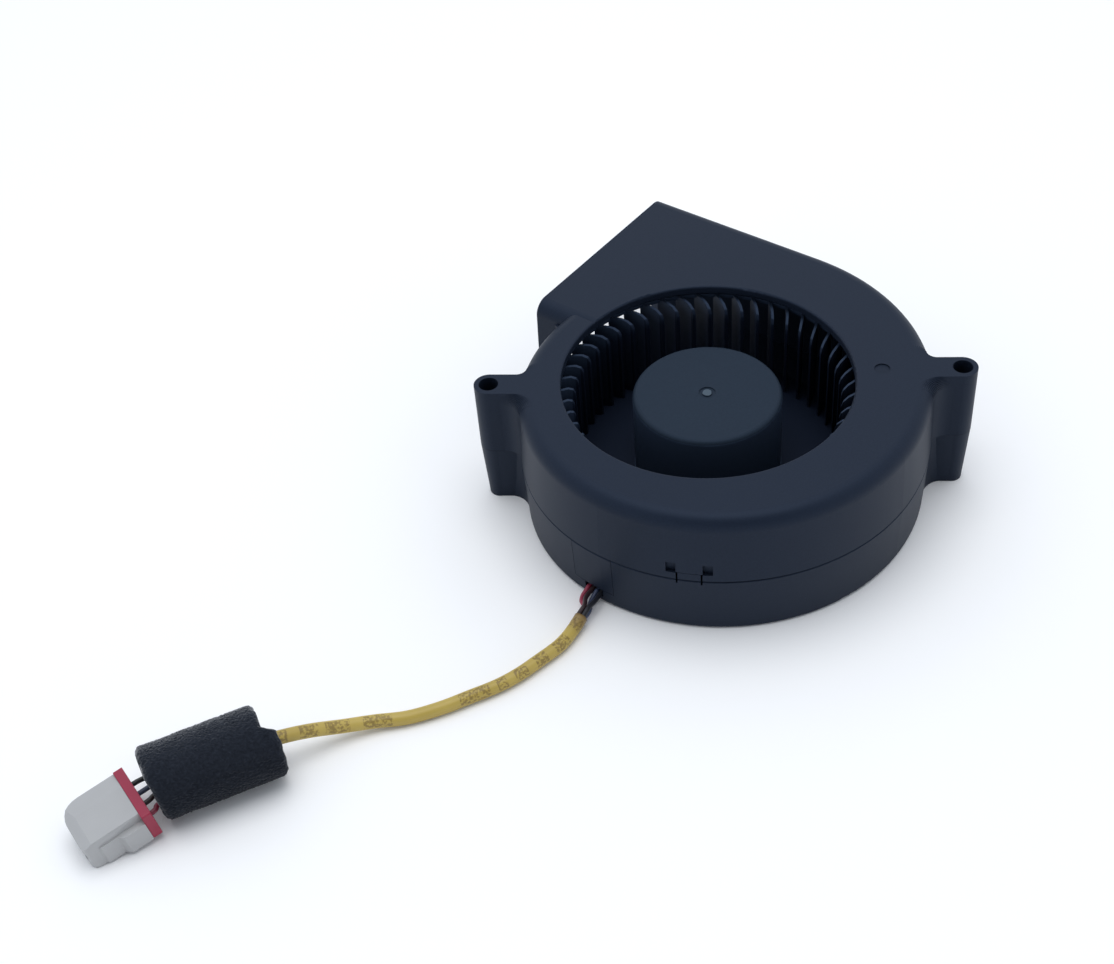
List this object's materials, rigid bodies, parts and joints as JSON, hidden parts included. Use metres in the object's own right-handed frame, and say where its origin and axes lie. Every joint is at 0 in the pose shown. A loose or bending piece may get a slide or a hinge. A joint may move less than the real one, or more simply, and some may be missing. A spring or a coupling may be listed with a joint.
{
  "type": "centrifugal blower",
  "caption": "DC centrifugal blower: volute housing with two lug holes, blade wheel on an external-rotor motor, sleeved wire lead with foam sleeve and plug connector.",
  "frame": {"origin": "on the rotor axis, at the housing's flat bottom face", "axes": "+Z along the rotor axis towards the air inlet, +Y the way the air is discharged"},
  "size_m": [0.214, 0.1012, 0.033],
  "materials": {
    "housing_black": "moulded thermoplastic, fine matte grain",
    "impeller_black": "moulded thermoplastic, smooth",
    "yoke_steel": "zinc plated",
    "magnet_ferrite": "bonded ferrite",
    "shaft_steel": "ground and hardened",
    "cage_nylon": "natural nylon",
    "bush_brass": "turned",
    "lamination_steel": "stacked laminations",
    "insulator_nylon": "natural nylon",
    "coil_copper": "enamelled copper wire",
    "board_green": "solder mask",
    "chip_black": "moulded package",
    "capacitor_tan": "fired ceramic",
    "wire_black": "PVC insulation",
    "wire_red": "PVC insulation",
    "wire_blue": "PVC insulation",
    "wire_brown": "PVC insulation",
    "sleeve_yellow": "soft tubing",
    "foam_black": "open-cell foam",
    "connector_white": "natural nylon",
    "retainer_red": "dyed nylon",
    "contact_tin": "tin plated"
  },
  "bodies": {
    "housing": {"upper_cover": "housing_black", "lower_base": "housing_black", "upper_bearing_outer_ring": "shaft_steel", "lower_bearing_outer_ring": "shaft_steel", "bearing_tube": "bush_brass", "stator_core": "lamination_steel", "upper_insulator": "insulator_nylon", "lower_insulator": "insulator_nylon", "coil_1": "coil_copper", "coil_2": "coil_copper", "coil_3": "coil_copper", "coil_4": "coil_copper", "circuit_board": "board_green", "hall_sensor": "chip_black", "driver_chip": "chip_black", "capacitor": "capacitor_tan", "lead_black": "wire_black", "lead_red": "wire_red", "lead_blue": "wire_blue", "lead_brown": "wire_brown", "cable_sleeve": "sleeve_yellow", "foam_sleeve": "foam_black", "connector_housing": "connector_white", "connector_retainer": "retainer_red", "connector_contacts": "contact_tin"},
    "rotor": {"impeller": "impeller_black", "rotor_yoke": "yoke_steel", "magnet_ring": "magnet_ferrite", "shaft": "shaft_steel", "shaft_bush": "bush_brass", "preload_spring": "yoke_steel", "retaining_clip": "yoke_steel", "upper_bearing_inner_ring": "shaft_steel", "lower_bearing_inner_ring": "shaft_steel"},
    "upper_ball_set": {"upper_bearing_balls": "shaft_steel", "upper_bearing_cage": "cage_nylon"},
    "lower_ball_set": {"lower_bearing_balls": "shaft_steel", "lower_bearing_cage": "cage_nylon"}
  },
  "joints": [
    {"name": "rotor_spin", "type": "hinge", "parent": "housing", "child": "rotor", "pos_m": [0, 0, 0], "axis": [0, 0, 1], "continuous": true},
    {"name": "upper_balls_spin", "type": "hinge", "parent": "housing", "child": "upper_ball_set", "pos_m": [0, 0, 0.0155], "axis": [0, 0, 1], "continuous": true},
    {"name": "lower_balls_spin", "type": "hinge", "parent": "housing", "child": "lower_ball_set", "pos_m": [0, 0, 0.0056], "axis": [0, 0, 1], "continuous": true}
  ],
  "couplings": [
    {"joint": "upper_balls_spin", "follows": "rotor_spin", "ratio": 0.3727},
    {"joint": "lower_balls_spin", "follows": "rotor_spin", "ratio": 0.3727}
  ]
}
